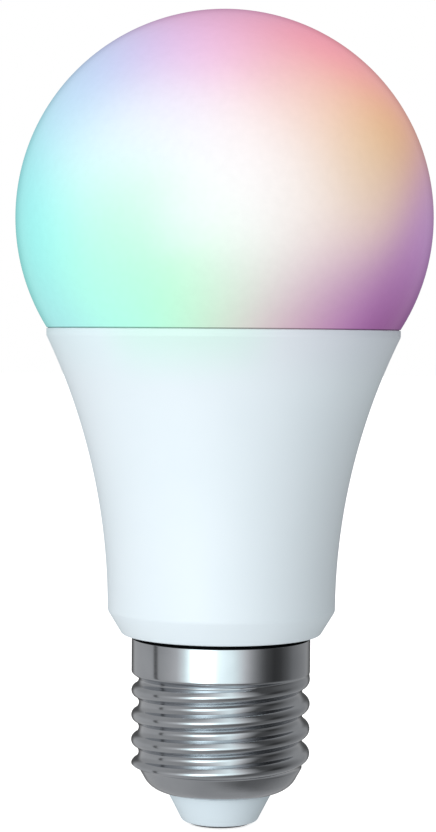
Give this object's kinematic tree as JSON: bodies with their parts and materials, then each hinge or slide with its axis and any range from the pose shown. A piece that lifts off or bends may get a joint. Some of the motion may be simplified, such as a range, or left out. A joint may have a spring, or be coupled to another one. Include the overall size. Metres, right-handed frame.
{
  "type": "smart light bulb",
  "caption": "Screw-in colour LED lamp: a lit opal globe on a flared white housing, over an Edison screw cap, with the light engine, radio and mains driver inside.",
  "frame": {"origin": "middle of the centre contact's underside, the end of the screw cap", "axes": "+Z along the lamp's axis from the cap to the top of the globe, -Y to the front of the lamp"},
  "size_m": [0.0604, 0.0604, 0.1182],
  "materials": {
    "opal_plastic": "opal, satin, lit from inside",
    "white_plastic": "cool white, satin",
    "silicone": "matt",
    "aluminium": "pressed, satin",
    "thermal_pad": "matt",
    "white_board": "white solder mask",
    "green_board": "green solder mask",
    "blue_board": "blue solder mask",
    "warm_led": "yellow phosphor in a white body",
    "cool_led": "pale phosphor in a white body",
    "colour_led": "clear resin in a white body",
    "steel": "satin",
    "nickel": "nickel plated, rolled",
    "gold": "gold flash",
    "black_plastic": "moulded",
    "sleeve": "shrink sleeve",
    "film_red": "dipped",
    "winding": "enamelled copper",
    "ferrite": "sintered",
    "varistor_blue": "dipped",
    "resistor_body": "lacquered",
    "red_wire": "insulated",
    "black_wire": "insulated"
  },
  "bodies": {
    "root": {"diffuser_dome": "opal_plastic", "diffuser_seal": "silicone", "housing_shell": "white_plastic", "heat_sink_cup": "aluminium", "heat_spreader_plate": "aluminium", "thermal_pad": "thermal_pad", "led_board": "white_board", "warm_white_led_1": "warm_led", "warm_white_led_2": "warm_led", "warm_white_led_3": "warm_led", "warm_white_led_4": "warm_led", "warm_white_led_5": "warm_led", "warm_white_led_6": "warm_led", "cool_white_led_1": "cool_led", "cool_white_led_2": "cool_led", "cool_white_led_3": "cool_led", "cool_white_led_4": "cool_led", "cool_white_led_5": "cool_led", "cool_white_led_6": "cool_led", "rgb_led_1": "colour_led", "rgb_led_2": "colour_led", "rgb_led_3": "colour_led", "rgb_led_4": "colour_led", "board_screw_1": "steel", "board_screw_2": "steel", "led_header_socket": "black_plastic", "radio_board": "blue_board", "radio_shield_can": "steel", "radio_crystal": "steel", "antenna_trace": "gold", "board_link_header": "black_plastic", "driver_board": "green_board", "led_pin_header": "gold", "bulk_capacitor": "sleeve", "output_capacitor": "sleeve", "film_capacitor": "film_red", "power_choke": "ferrite", "filter_choke": "winding", "varistor": "varistor_blue", "fusible_resistor": "resistor_body", "bridge_rectifier": "black_plastic", "power_chip": "black_plastic", "led_driver_chip": "black_plastic", "catch_diode": "black_plastic", "sense_resistor_1": "black_plastic", "sense_resistor_2": "black_plastic", "line_wire": "red_wire", "neutral_wire": "black_wire", "screw_cap_shell": "nickel", "cap_insulator": "white_plastic", "centre_contact": "nickel"}
  },
  "joints": []
}
